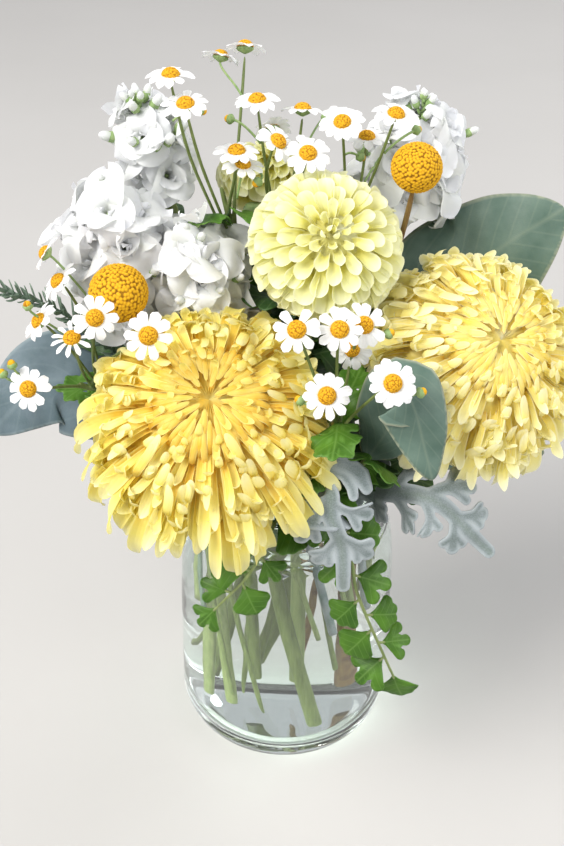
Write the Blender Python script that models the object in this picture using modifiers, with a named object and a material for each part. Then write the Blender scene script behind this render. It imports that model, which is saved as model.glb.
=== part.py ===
"""A jar of cut garden flowers: yellow chrysanthemums, a lemon dahlia, white stock, craspedia,
feverfew daisies, eucalyptus, dusty miller and maidenhair, standing in water in a clear glass jar.

Sizes are in millimetres and are turned into metres when a mesh is made. The origin is the centre
of the jar's underside, +Z is up and the front of the bouquet faces -Y. A flower faces the way
given by its azimuth (0 is the front, positive towards +X) and its elevation above the horizon.
"""

import math

import bmesh
import bpy
from mathutils import Matrix, Vector

MM = 0.001
GAP = 0.3  # clearance between two pieces that touch
ROOT_NAME = "wildflowers_in_jar"

# jar and water
JAR_RADIUS = 42.0
JAR_HEIGHT = 124.0
JAR_WALL = 2.6
JAR_FLOOR = 7.0
HEEL_RADIUS = 14.0
NECK_RADIUS = 36.5
WATER_LEVEL = 104.0
TURN_STEPS = 28

# stems: each crosses the mouth at its own point and leans to a spot on the floor that is the
# mouth point turned by STEM_TWIST and scaled by STEM_SPREAD, so no two stems can meet
MOUTH_LEVEL = 122.0
FLOOR_LEVEL = 8.0
STEM_TWIST = math.radians(65)
STEM_SPREAD = 0.95
LEAF_CUT_LEVEL = 60.0
LEAF_FACE = Vector((0, -0.8, 0.6))  # the side of a leaf that is seen faces forwards and up

# name: centre, azimuth, elevation, radius
MUMS = {
    "mum_left": ((-27, -32, 164.5), 2, 56, 38),
    "mum_right": ((61, -3, 174), 25, 49, 37),
}
DAHLIAS = {
    "dahlia_front": ((9, 2, 213), 8, 46, 25),
    "dahlia_back": ((-12, 52, 212), 165, 50, 18),
}
CRASPEDIA = {
    "craspedia_left": ((-59, -6, 198), -15, 60, 10),
    "craspedia_right": ((37, 9, 239), 5, 75, 8.4),
}
# name: foot of the spike, its tip, radius
STOCKS = {
    "stock_left": ((-60, 30, 170), (-65, 20, 226), 20),
    "stock_centre": ((-31, 20.5, 170), (-34, 8, 217), 15),
    "stock_tall": ((-49, 44, 216), (-55, 38, 248), 12.5),
    "stock_right": ((37, 57, 198), (42, 53, 246), 19.5),
}
# number: centre, azimuth, elevation
DAISY_RADIUS = 7.8
DAISIES = {
    1: ((-42, 18, 263), -10, 88),
    2: ((-37, 12, 256), -15, 76),
    3: ((-20, 50, 262), 180, 62),
    4: ((-15, 28, 252), -60, 84),
    5: ((-8, 16, 243), 60, 50),
    6: ((-21, 14, 240), -5, 85),
    7: ((0, 34, 247), 180, 74),
    8: ((2, 12, 241), 5, 58),
    9: ((13, 24, 247), -15, 65),
    10: ((22, 34, 238), 0, 88),
    11: ((30, 22, 251), 40, 75),
    12: ((-80, 2, 197), -75, 45),
    13: ((-86, -6, 186), -75, 42),
    14: ((-64, -24, 199), 10, 38),
    15: ((-72.5, -21, 189), -10, 70),
    16: ((-44, -48, 208), 6, 30),
    17: ((-89, -20, 168), -6, 36),
    18: ((0, -42, 208), -6, 42),
    19: ((13, -38, 206), 4, 48),
    20: ((21, -30, 203), 20, 44),
    21: ((10, -46, 187), 0, 40),
    22: ((29, -53, 197), 12, 42),
}

# name: stem radius, cut level, mouth point, head it carries
STEMS = {
    "mum_left": (2.8, 8.6, (-10, -17)),
    "mum_right": (2.8, 12.0, (18, -8)),
    "dahlia_front": (2.3, 24.0, (3, -3)),
    "dahlia_back": (1.9, 16.0, (-2, 20)),
    "craspedia_left": (1.1, 20.0, (-25, -7)),
    "craspedia_right": (1.1, 14.0, (13, 4)),
    "stock_left": (2.4, 18.0, (-22, 7)),
    "stock_centre": (2.2, 30.0, (-12, 2)),
    "stock_tall": (2.2, 13.0, (-15, 18)),
    "stock_right": (2.4, 22.0, (13, 16)),
}
# name: radius, cut level, mouth point, fork points, daisies carried from the last fork
SPRAYS = {
    "feverfew_top": (1.0, 16.0, (-7, 9), [(-14, 23, 168), (-27, 27, 222)], (1, 2, 3, 6)),
    "feverfew_middle": (0.95, 28.0, (4, 11), [(-5, 31, 175), (-6, 29, 216)], (4, 5, 7, 8)),
    "feverfew_right": (0.95, 19.0, (5, 27), [(15, 31, 180), (20, 30, 214)], (9, 10, 11)),
    "feverfew_left": (1.0, 26.0, (-28, 3), [(-60, 8, 144), (-76, -1, 158)], (12, 13, 14, 15, 16, 17)),
    "feverfew_front": (0.95, 33.0, (6, -17), [(14, -31, 150), (15.5, -35, 168)], (18, 19, 20, 21, 22)),
}

# name: stalk radius, mouth point, points of the midrib above the mouth, half width, blade start
LEAVES = {
    "eucalyptus_right": (1.0, (23, 13), [(44, 22, 156), (58, 38, 192), (101, 36, 208)], 20.0, 0.60),
    "eucalyptus_low": (1.0, (27, 2), [(48, 12, 132), (72, 20, 126), (101, 14, 118)], 13.0, 0.44),
    "eucalyptus_centre": (0.9, (15, -20), [(29, -33, 160), (35, -46, 190), (45, -54, 156)], 11.0, 0.44),
    "eucalyptus_left": (1.0, (-23, 17), [(-48, 28, 138), (-80, 20, 148), (-113, 2, 128)], 20.0, 0.38),
}
FELT_LEAVES = {
    "dusty_miller_centre": (1.0, (4, -26), [(9, -42, 144), (13, -54, 152), (19, -58, 110)], 12.0, 0.42),
    "dusty_miller_right": (1.0, (22, -15), [(36, -32, 138), (50, -42, 142), (74, -42, 116)], 10.0, 0.38),
    "dusty_miller_back": (1.0, (14, 24), [(22, 42, 144), (30, 54, 150), (46, 64, 128)], 10.0, 0.38),
}
FRONDS = {
    "maidenhair_right": (0.7, (12, -25), [(17, -40, 132), (24, -50, 108), (40, -47, 64)], 8.0, 0.40),
    "maidenhair_left": (0.7, (-3, -27), [(-5, -39, 128), (-12, -48, 115), (-24, -49, 98)], 7.0, 0.40),
}
SPRIG = {
    "grey_sprig": (0.7, (-26, 12), [(-58, 22, 148), (-84, 15, 178), (-112, 8, 193)], 6.0, 0.5),
}

SAP_GREEN = (0.20, 0.36, 0.10, 1)
COLOURS = {
    "clear_glass": (0.86, 0.93, 0.92, 0.35),
    "clear_water": (0.88, 0.94, 0.94, 0.35),
    "mum_petal": (0.93, 0.74, 0.22, 1),
    "dahlia_petal": (0.92, 0.91, 0.52, 1),
    "stock_petal": (0.89, 0.90, 0.92, 1),
    "craspedia_floret": (0.78, 0.50, 0.05, 1),
    "daisy_head": (0.94, 0.94, 0.90, 1),
    "green_stem": SAP_GREEN,
    "eucalyptus_leaf": (0.30, 0.40, 0.36, 1),
    "felt_leaf": (0.56, 0.61, 0.60, 1),
    "fern_leaf": (0.14, 0.36, 0.06, 1),
}


def clear_scene():
    for item in list(bpy.data.objects):
        bpy.data.objects.remove(item, do_unlink=True)


def new_collection(name):
    group = bpy.data.collections.new(name)
    bpy.context.scene.collection.children.link(group)
    return group


def new_material(name):
    colour = COLOURS[name]
    material = bpy.data.materials.new(name)
    material.use_nodes = True
    shader = material.node_tree.nodes["Principled BSDF"]
    shader.inputs["Base Color"].default_value = colour
    clear = colour[3] < 1
    shader.inputs["Roughness"].default_value = 0.05 if clear else 0.6
    shader.inputs["Transmission Weight"].default_value = 1.0 if clear else 0.0
    shader.inputs["Metallic"].default_value = 0.0
    return material


def add_object(name, data, slot):
    item = bpy.data.objects.new(name, data)
    item.data.materials.append(new_material(slot))
    parts.objects.link(item)
    return item


def facing(azimuth, elevation):
    a = math.radians(azimuth)
    e = math.radians(elevation)
    return Vector((math.sin(a) * math.cos(e), -math.cos(a) * math.cos(e), math.sin(e)))


def aim(item, centre, direction):
    """Place an object so that its own +Z points along direction."""
    item.location = Vector(centre) * MM
    item.rotation_euler = direction.to_track_quat("Z", "Y").to_euler()


# ---------------------------------------------------------------- turned glass and water


def arc(centre, radius, first, last, steps):
    """Points of a circular arc, angles in degrees from +X."""
    points = []
    for step in range(steps + 1):
        angle = math.radians(first + (last - first) * step / steps)
        points.append((centre[0] + radius * math.cos(angle), centre[1] + radius * math.sin(angle)))
    return points


def turned(name, profile, slot):
    """Spin an open profile of (radius, height) about Z; it runs down the outer side."""
    mesh = bpy.data.meshes.new(name)
    points = [(radius * MM, 0, height * MM) for radius, height in profile]
    mesh.from_pydata(points, [(i, i + 1) for i in range(len(points) - 1)], [])
    item = add_object(name, mesh, slot)
    screw = item.modifiers.new("turn", "SCREW")
    screw.steps = TURN_STEPS
    screw.render_steps = TURN_STEPS
    screw.use_merge_vertices = True
    screw.merge_threshold = 0.00001
    return item


def jar_wall(inset):
    """Side of the jar from mouth to floor, drawn inset from the outer face."""
    rim = NECK_RADIUS - inset
    body = JAR_RADIUS - inset
    foot = JAR_FLOOR if inset else 0
    heel = HEEL_RADIUS - inset * 0.6
    wall = [(rim, JAR_HEIGHT - 1.5), (rim, JAR_HEIGHT - 14), (rim + 0.6, JAR_HEIGHT - 19)]
    wall += [(body - 2.2, JAR_HEIGHT - 29), (body - 0.8, JAR_HEIGHT - 42), (body, JAR_HEIGHT - 66)]
    return wall + arc((body - heel, foot + heel), heel, 0, -90, 5)


def radius_at(wall, level):
    """Radius of a wall that runs from top to bottom, at a level between two of its points."""
    for (upper, high), (lower, low) in zip(wall, wall[1:]):
        if low <= level <= high:
            return lower + (upper - lower) * (level - low) / (high - low)


def build_jar():
    outer = jar_wall(0)
    inner = jar_wall(JAR_WALL)
    bead = [(NECK_RADIUS - JAR_WALL + 0.6, JAR_HEIGHT), (NECK_RADIUS - 0.6, JAR_HEIGHT)]
    kick = [(JAR_RADIUS - HEEL_RADIUS - 4, 0.0), (0, 0.0)]
    return turned("jar", [(0, JAR_FLOOR)] + inner[::-1] + bead + outer + kick, "clear_glass")


def stem_crossings():
    """Radius, cut level and mouth point of everything that stands in the water."""
    crossings = [entry[:3] for entry in list(STEMS.values()) + list(SPRAYS.values())]
    for table in (LEAVES, FELT_LEAVES, FRONDS, SPRIG):
        crossings += [(entry[0], LEAF_CUT_LEVEL, entry[1]) for entry in table.values()]
    return crossings


def stem_cutter():
    """One mesh of rods, each a little fatter than its stem and out past the water's surface."""
    sides = 10
    mesh = bpy.data.meshes.new("stem_channels")
    form = bmesh.new()
    for radius, cut, mouth in stem_crossings():
        foot = stem_point(mouth, cut)
        top = stem_point(mouth, WATER_LEVEL + 3)
        axis = (top - foot).normalized()
        foot -= axis * GAP
        wide = (radius + GAP) / math.cos(math.pi / sides) * MM
        turn = axis.to_track_quat("Z", "Y").to_matrix().to_4x4()
        place = Matrix.Translation((foot + top) / 2 * MM) @ turn
        bmesh.ops.create_cone(
            form,
            cap_ends=True,
            segments=sides,
            radius1=wide,
            radius2=wide,
            depth=(top - foot).length * MM,
            matrix=place,
        )
    form.to_mesh(mesh)
    form.free()
    cutter = bpy.data.objects.new("stem_channels", mesh)
    cutter.hide_render = True
    cutter.display_type = "WIRE"
    cutters.objects.link(cutter)
    return cutter


def build_water():
    inner = jar_wall(JAR_WALL + GAP)
    wall = [(radius, height + GAP) for radius, height in inner if height < WATER_LEVEL]
    edge = radius_at(inner, WATER_LEVEL) - GAP
    surface = [(0, WATER_LEVEL), (edge, WATER_LEVEL)]
    body = turned("water", surface + wall + [(0, JAR_FLOOR + GAP)], "clear_water")
    channels = body.modifiers.new("channels", "BOOLEAN")
    channels.operation = "DIFFERENCE"
    channels.solver = "EXACT"
    channels.object = stem_cutter()


# ---------------------------------------------------------------- flower heads


def shaped_sphere(name, slot, around, down, shape):
    """A sphere whose points are moved to shape(angle, fraction from the top) in millimetres."""
    mesh = bpy.data.meshes.new(name)
    form = bmesh.new()
    bmesh.ops.create_uvsphere(form, u_segments=around, v_segments=down, radius=1)
    for vertex in form.verts:
        fraction = math.acos(max(-1, min(1, vertex.co.z))) / math.pi
        angle = math.atan2(vertex.co.y, vertex.co.x)
        radius, height = shape(angle, fraction)
        vertex.co = Vector((radius * math.cos(angle), radius * math.sin(angle), height)) * MM
    form.to_mesh(mesh)
    form.free()
    mesh.shade_smooth()
    return add_object(name, mesh, slot)


def along(values, fraction):
    """Value at a fraction of the way through a list, straight between its entries."""
    place = fraction * (len(values) - 1)
    index = min(int(place), len(values) - 2)
    return values[index] + (values[index + 1] - values[index]) * (place - index)


def petalled_ball(radius, reach, rise, petals, rings):
    """Shape of a full double flower: reach and rise run from its heart to its calyx."""

    def shape(angle, fraction):
        swell = along(reach, fraction)
        ring = round(fraction * rings)
        ripple = math.cos(petals * angle + math.pi * ring) * 0.035 * swell
        return radius * (swell + ripple), radius * along(rise, fraction)

    return shape


def build_mums():
    reach = (0, 0.34, 0.62, 0.84, 0.96, 1.0, 0.98, 0.9, 0.72, 0.46, 0.24, 0.10, 0)
    rise = (0.70, 0.67, 0.58, 0.42, 0.22, 0.02, -0.16, -0.30, -0.36, -0.36, -0.38, -0.46, -0.50)
    for name, (centre, azimuth, elevation, radius) in MUMS.items():
        ball = petalled_ball(radius, reach, rise, 14, 9)
        head = shaped_sphere(name + "_head", "mum_petal", 28, 9, ball)
        aim(head, centre, facing(azimuth, elevation))


def build_dahlias():
    reach = (0, 0.32, 0.58, 0.80, 0.94, 1.0, 1.0, 0.93, 0.78, 0.56, 0.32, 0.14, 0)
    rise = (0.78, 0.75, 0.66, 0.50, 0.29, 0.06, -0.16, -0.36, -0.50, -0.56, -0.58, -0.64, -0.68)
    for name, (centre, azimuth, elevation, radius) in DAHLIAS.items():
        ball = petalled_ball(radius, reach, rise, 12, 8)
        head = shaped_sphere(name + "_head", "dahlia_petal", 24, 8, ball)
        aim(head, centre, facing(azimuth, elevation))


def build_craspedia():
    for name, (centre, azimuth, elevation, radius) in CRASPEDIA.items():

        def globe(angle, fraction, radius=radius):
            turn = math.pi * fraction
            return radius * math.sin(turn), radius * 0.95 * math.cos(turn)

        head = shaped_sphere(name + "_head", "craspedia_floret", 14, 8, globe)
        aim(head, centre, facing(azimuth, elevation))


def build_stocks():
    for name, (foot, tip, radius) in STOCKS.items():
        axis = Vector(tip) - Vector(foot)
        half = axis.length / 2

        def spike(angle, fraction, radius=radius, half=half):
            turn = math.pi * fraction
            bump = 1 + 0.10 * math.cos(5 * angle + 9 * turn)
            full = math.sin(turn) ** 0.7
            return radius * full * bump * (0.72 + 0.28 * fraction), half * math.cos(turn)

        head = shaped_sphere(name + "_spike", "stock_petal", 16, 9, spike)
        aim(head, (Vector(foot) + Vector(tip)) / 2, axis.normalized())


def daisy_shape(angle, fraction):
    """Nine ray florets round a domed disc, over a shallow green cup."""
    ring = round(fraction * 5)
    tip = 0.9 + 0.1 * math.cos(9 * angle)
    reach = (0, 0.36, tip, tip, 0.30, 0)[ring]
    rise = (0.28, 0.14, -0.02, -0.09, -0.14, -0.26)[ring]
    return DAISY_RADIUS * reach, DAISY_RADIUS * rise


def build_daisies():
    for number, (centre, azimuth, elevation) in DAISIES.items():
        head = shaped_sphere(f"daisy_{number:02d}", "daisy_head", 18, 5, daisy_shape)
        aim(head, centre, facing(azimuth, elevation))


# ---------------------------------------------------------------- stems


def stem_point(mouth, level):
    """Where the stem that crosses the mouth at this point is at another level in the jar."""
    share = (level - FLOOR_LEVEL) / (MOUTH_LEVEL - FLOOR_LEVEL)
    cos = STEM_SPREAD * math.cos(STEM_TWIST)
    sin = STEM_SPREAD * math.sin(STEM_TWIST)
    low = Vector((cos * mouth[0] - sin * mouth[1], sin * mouth[0] + cos * mouth[1], 0))
    high = Vector((mouth[0], mouth[1], 0))
    return low.lerp(high, share) + Vector((0, 0, level))


def bend(start, leave, end, arrive, steps):
    """Points of a smooth curve from start to end with the given directions at its ends."""
    pull = (end - start).length
    points = []
    for step in range(1, steps + 1):
        t = step / steps
        away = (2 * t**3 - 3 * t**2 + 1) * start + (t**3 - 2 * t**2 + t) * pull * leave
        points.append(away + (-2 * t**3 + 3 * t**2) * end + (t**3 - t**2) * pull * arrive)
    return points


def jar_run(mouth, level):
    """The straight run inside the jar and the direction that it leaves in."""
    foot = stem_point(mouth, level)
    top = stem_point(mouth, MOUTH_LEVEL)
    return [foot, top], (top - foot).normalized()


def tube(name, points, radius, slot):
    """A round stem along the points, with an extra ring by its cut end, as a closed mesh."""
    points = [points[0], points[0] + (points[1] - points[0]).normalized() * 0.6] + points[1:]
    curve = bpy.data.curves.new(name, "CURVE")
    curve.dimensions = "3D"
    curve.bevel_depth = radius * MM
    curve.bevel_resolution = 1
    curve.use_fill_caps = True
    spline = curve.splines.new("POLY")
    spline.points.add(len(points) - 1)
    for place, point in zip(spline.points, points):
        place.co = (*(point * MM), 1)
    return as_mesh(add_object(name, curve, slot))


def as_mesh(item):
    """Replace a curve object by the mesh that it draws, with its caps welded on."""
    scene_graph = bpy.context.evaluated_depsgraph_get()
    mesh = bpy.data.meshes.new_from_object(item.evaluated_get(scene_graph))
    form = bmesh.new()
    form.from_mesh(mesh)
    bmesh.ops.remove_doubles(form, verts=form.verts, dist=0.00001)
    form.to_mesh(mesh)
    form.free()
    mesh.shade_smooth()
    name = item.name
    slot = item.data.materials[0]
    place = item.matrix_world.copy()
    bpy.data.objects.remove(item, do_unlink=True)
    solid = bpy.data.objects.new(name, mesh)
    solid.matrix_world = place
    mesh.materials.clear()
    mesh.materials.append(slot)
    parts.objects.link(solid)
    return solid


def head_seat(name):
    """Point just under a head and the direction that its stem arrives in."""
    if name in STOCKS:
        foot, tip, _ = STOCKS[name]
        axis = (Vector(tip) - Vector(foot)).normalized()
        return Vector(foot) - axis * GAP, axis
    table, depth = (MUMS, 0.50) if name in MUMS else (DAHLIAS, 0.68)
    if name in CRASPEDIA:
        table, depth = CRASPEDIA, 0.95
    centre, azimuth, elevation, radius = table[name]
    axis = facing(azimuth, elevation)
    return Vector(centre) - axis * (depth * radius + GAP), axis


def build_stems():
    for name, (radius, cut, mouth) in STEMS.items():
        seat, arrive = head_seat(name)
        run, leave = jar_run(mouth, cut)
        tube(name + "_stem", run + bend(run[-1], leave, seat, arrive, 6), radius, "green_stem")


def join(item, other):
    """Unite other into item and remove it."""
    union = item.modifiers.new("join", "BOOLEAN")
    union.operation = "UNION"
    union.solver = "EXACT"
    union.object = other
    scene_graph = bpy.context.evaluated_depsgraph_get()
    mesh = bpy.data.meshes.new_from_object(item.evaluated_get(scene_graph))
    item.modifiers.clear()
    item.data = mesh
    bpy.data.objects.remove(other, do_unlink=True)


def build_sprays():
    for name, (radius, cut, mouth, forks, numbers) in SPRAYS.items():
        run, leave = jar_run(mouth, cut)
        low, high = Vector(forks[0]), Vector(forks[1])
        upward = (high - low).normalized()
        points = run + bend(run[-1], leave, low, upward, 4) + bend(low, upward, high, upward, 2)
        spray = tube(name + "_stem", points, radius, "green_stem")
        for count, number in enumerate(numbers):
            centre, azimuth, elevation = DAISIES[number]
            axis = facing(azimuth, elevation)
            seat = Vector(centre) - axis * (0.26 * DAISY_RADIUS + GAP)
            start = low.lerp(high, 0.35 + 0.6 * count / len(numbers))
            outward = (seat - start).normalized().lerp(upward, 0.4)
            route = [start] + bend(start, outward, seat, axis, 3)
            join(spray, tube(f"{name}_{number}", route, radius * 0.6, "green_stem"))


# ---------------------------------------------------------------- leaves


def smooth_route(points, before, steps):
    """Points on a smooth curve through the given points, arriving at the first from before."""
    ends = [before] + points + [2 * points[-1] - points[-2]]
    route = []
    for before, start, end, after in zip(ends, ends[1:], ends[2:], ends[3:]):
        for step in range(steps):
            t = step / steps
            pull = (end - before) * t + (2 * before - 5 * start + 4 * end - after) * t**2
            route.append(start + 0.5 * (pull + (3 * start - before - 3 * end + after) * t**3))
    return route + [points[-1]]


def blade(name, route, widths, columns, thickness, droop, slot):
    """A leaf with its stalk: a strip along the route, widths[row] to each side, then thickened."""
    mesh = bpy.data.meshes.new(name)
    form = bmesh.new()
    bmesh.ops.create_grid(form, x_segments=columns, y_segments=len(route) - 1, size=1)
    form.verts.ensure_lookup_table()
    for vertex in form.verts:
        row = round((vertex.co.y + 1) / 2 * (len(route) - 1))
        run = route[min(row + 1, len(route) - 1)] - route[max(row - 1, 0)]
        side = run.cross(LEAF_FACE)
        side.normalize()
        lift = side.cross(run).normalized()
        share = vertex.co.x
        width = widths[row]
        vertex.co = (route[row] + side * share * width - lift * droop * width * share**2) * MM
    form.to_mesh(mesh)
    form.free()
    mesh.shade_smooth()
    item = add_object(name, mesh, slot)
    shell = item.modifiers.new("thickness", "SOLIDIFY")
    shell.thickness = thickness * MM
    shell.offset = 0
    return item


def leaf_route(mouth, points):
    (foot, top), leave = jar_run(mouth, LEAF_CUT_LEVEL)
    return [foot] + smooth_route([top] + [Vector(point) for point in points], top - leave * 25, 5)


def blade_widths(count, stalk, width, start, outline):
    """Half widths along a leaf: the stalk's radius, then the outline from start to the tip."""
    widths = []
    for index in range(count):
        share = (index / (count - 1) - start) / (1 - start)
        body = outline(share) * width if 0 < share < 1 else 0
        widths.append(max(body, stalk))
    return widths


def round_outline(share):
    return math.sin(math.pi * share**0.8) ** 0.6


def lobed_outline(share):
    return math.sin(math.pi * share**0.8) ** 0.6 * (0.66 + 0.34 * math.cos(8 * math.pi * share))


def leaflet_outline(share):
    return math.sin(math.pi * share) ** 0.4 * (0.55 + 0.45 * math.cos(10 * math.pi * share))


def build_leaves():
    kinds = (
        (LEAVES, "_leaf", round_outline, 4, 0.6, 0.25, "eucalyptus_leaf"),
        (FELT_LEAVES, "_leaf", lobed_outline, 2, 1.0, 0.2, "felt_leaf"),
        (FRONDS, "_frond", leaflet_outline, 2, 0.6, 0.1, "fern_leaf"),
        (SPRIG, "", lobed_outline, 2, 1.2, 0.1, "felt_leaf"),
    )
    for table, ending, outline, columns, thickness, droop, slot in kinds:
        for name, (stalk, mouth, points, width, start) in table.items():
            route = leaf_route(mouth, points)
            widths = blade_widths(len(route), stalk, width, start, outline)
            blade(name + ending, route, widths, columns, thickness, droop, slot)


clear_scene()
parts = new_collection(ROOT_NAME)
cutters = new_collection("cutters")
build_jar()
build_water()
build_mums()
build_dahlias()
build_craspedia()
build_stocks()
build_daisies()
build_stems()
build_sprays()
build_leaves()
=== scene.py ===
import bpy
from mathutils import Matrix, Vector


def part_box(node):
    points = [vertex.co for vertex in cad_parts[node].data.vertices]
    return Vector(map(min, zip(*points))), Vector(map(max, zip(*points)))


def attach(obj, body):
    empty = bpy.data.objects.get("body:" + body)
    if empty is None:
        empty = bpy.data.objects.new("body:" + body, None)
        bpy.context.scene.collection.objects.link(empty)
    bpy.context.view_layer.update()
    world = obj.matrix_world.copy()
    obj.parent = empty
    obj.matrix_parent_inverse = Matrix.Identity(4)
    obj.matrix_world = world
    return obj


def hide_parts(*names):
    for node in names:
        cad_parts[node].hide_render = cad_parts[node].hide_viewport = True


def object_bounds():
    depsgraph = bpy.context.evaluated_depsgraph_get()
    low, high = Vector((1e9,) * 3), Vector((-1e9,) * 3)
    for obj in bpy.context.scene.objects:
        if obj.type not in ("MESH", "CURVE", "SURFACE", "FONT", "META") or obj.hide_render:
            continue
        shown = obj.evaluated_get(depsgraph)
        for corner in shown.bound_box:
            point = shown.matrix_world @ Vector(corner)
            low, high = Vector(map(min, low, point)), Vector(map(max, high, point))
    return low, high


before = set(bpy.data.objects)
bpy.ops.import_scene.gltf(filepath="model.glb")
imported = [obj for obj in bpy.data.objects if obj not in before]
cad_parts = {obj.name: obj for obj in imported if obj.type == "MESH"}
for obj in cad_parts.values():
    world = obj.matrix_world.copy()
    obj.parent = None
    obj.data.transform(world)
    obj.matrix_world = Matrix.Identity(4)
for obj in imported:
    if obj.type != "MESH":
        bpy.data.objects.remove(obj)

"""The looks of a jar of cut garden flowers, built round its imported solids.

Everything is worked out in millimetres and made metres when a mesh is made. Each flower is built
about its own +Z and then turned to the place and axis that its solid has. Every surface carries a
tint for each point, (across, along, chance), that its material reads: across runs 0 to 1 over a
petal or leaf, along runs 0 to 1 from its base to its tip, and chance is one number per petal.
"""

import heapq
import math
import zlib

import bpy
import numpy as np
from mathutils import Matrix, Vector
from mathutils.kdtree import KDTree

MM = 0.001
GOLDEN_ANGLE = math.pi * (3 - math.sqrt(5))
UP = np.array([0.0, 0.0, 1.0])
LEAF_FACE = np.array([0.0, -0.8, 0.6])
CAD_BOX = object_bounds()
# how far the tips of the foliage may reach: the CAD box and a little more, in millimetres
TIP_LIMITS = np.array(CAD_BOX) / MM + [[-6, -6, 0], [6, 6, 6]]


# ---------------------------------------------------------------- reading the frame


def cloud(node):
    """The points of a CAD node, in millimetres."""
    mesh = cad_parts[node].data
    points = np.empty(len(mesh.vertices) * 3)
    mesh.vertices.foreach_get("co", points)
    return points.reshape(-1, 3) / MM


def unit(vector):
    return vector / np.linalg.norm(vector)


def units(rows):
    """Each row of vectors brought to length 1."""
    return rows / np.linalg.norm(rows, axis=1, keepdims=True)


def flat_head(node, crown, calyx):
    """Centre, axis and radius of a head whose crown and calyx stand at those shares of its radius."""
    points = cloud(node)
    middle = points.mean(0)
    _, vectors = np.linalg.eigh(np.cov((points - middle).T))
    axis = vectors[:, 0] * np.sign(vectors[2, 0])
    heights = (points - middle) @ axis
    radius = (heights.max() - heights.min()) / (crown + calyx)
    return middle + axis * (heights.min() + calyx * radius), axis, radius


def stem_tip(stem, centre):
    """The end of a stem that is nearest to a head's centre."""
    points = cloud(stem)
    order = np.argsort(np.linalg.norm(points - centre, axis=1))
    return points[order[:8]].mean(0)


def tall_head(node, stem):
    """Foot, axis, length and radius of a head that stands on the end of its stem."""
    points = cloud(node)
    centre = points.mean(0)
    foot = stem_tip(stem, centre)
    axis = unit(centre - foot)
    heights = (points - foot) @ axis
    out = points - foot - heights[:, None] * axis
    return foot, axis, heights.max(), np.linalg.norm(out, axis=1).max()


def spine(node):
    """Midline of a leaf and its stalk, by distance along the solid from its lowest point."""
    count = 12
    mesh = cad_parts[node].data
    points, same = np.unique(np.round(cloud(node), 3), axis=0, return_inverse=True)
    same = same.ravel()
    near = [[] for _ in points]
    for edge in mesh.edges:
        a, b = (int(same[i]) for i in edge.vertices)
        near[a].append(b)
        near[b].append(a)
    reach = np.full(len(points), np.inf)
    start = int(points[:, 2].argmin())
    reach[start] = 0
    queue = [(0.0, start)]
    while queue:
        far, here = heapq.heappop(queue)
        if far > reach[here]:
            continue
        for other in near[here]:
            longer = far + np.linalg.norm(points[here] - points[other])
            if longer < reach[other]:
                reach[other] = longer
                heapq.heappush(queue, (longer, other))
    ring = np.minimum((reach / reach.max() * count).astype(int), count - 1)
    line = [points[ring == i].mean(0) for i in range(count) if (ring == i).any()]
    return np.array(line[:-1] + [points[reach > 0.97 * reach.max()].mean(0)])


# ---------------------------------------------------------------- curves and surfaces


def dice(name):
    """A random generator that always gives the same numbers for the same name."""
    return np.random.default_rng(zlib.crc32(name.encode()))


def bezier(corners, rows):
    a, b, c, d = (np.asarray(corner, float) for corner in corners)
    t = np.linspace(0, 1, rows)[:, None]
    return (1 - t) ** 3 * a + 3 * (1 - t) ** 2 * t * b + 3 * (1 - t) * t**2 * c + t**3 * d


def smooth_line(points, rows):
    """A smooth curve of evenly spaced rows through the points."""
    points = np.asarray(points, float)
    ends = np.vstack([2 * points[:1] - points[1:2], points, 2 * points[-1:] - points[-2:-1]])
    line = []
    for before, start, end, after in zip(ends, ends[1:], ends[2:], ends[3:]):
        for t in np.linspace(0, 1, 12, endpoint=False):
            pull = (end - before) * t + (2 * before - 5 * start + 4 * end - after) * t**2
            line.append(start + 0.5 * (pull + (3 * start - before - 3 * end + after) * t**3))
    line = np.array(line + [points[-1]])
    length = distances(line)
    even = np.linspace(0, length[-1], rows)
    return np.stack([np.interp(even, length, line[:, k]) for k in range(3)], 1)


def directions(line):
    return units(np.gradient(line, axis=0))


def distances(line):
    """How far along a line each of its points lies."""
    return np.concatenate([[0], np.cumsum(np.linalg.norm(np.diff(line, axis=0), axis=1))])


def turn_to(axis, spin=0.0):
    """Rotation that takes +Z to axis after a spin about it."""
    quaternion = Vector(axis).to_track_quat("Z", "Y")
    return np.array(quaternion.to_matrix() @ Matrix.Rotation(spin, 3, "Z"))


def outward(angle):
    """The level direction at an angle about +Z."""
    return np.array([math.cos(angle), math.sin(angle), 0])


def sideways(angle):
    """The level direction square to outward."""
    return np.array([-math.sin(angle), math.cos(angle), 0])


def turns(count):
    """Evenly spaced angles of one full turn."""
    return np.linspace(0, 2 * math.pi, count, endpoint=False)


def turned(wide, high, around):
    """A grid of points at distances from the Z axis and at heights, one column for each angle."""
    wide, high, around = np.broadcast_arrays(wide, high, around)
    return np.stack([wide * np.cos(around), wide * np.sin(around), high], -1)


def grid_faces(rows, columns, ring):
    """Faces between rows and columns of points; ring joins the last column to the first."""
    index = np.arange(rows * columns).reshape(rows, columns)
    if ring:
        index = np.concatenate([index, index[:, :1]], 1)
    corners = [index[:-1, :-1], index[:-1, 1:], index[1:, 1:], index[1:, :-1]]
    return np.stack(corners, -1).reshape(-1, 4)


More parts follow.
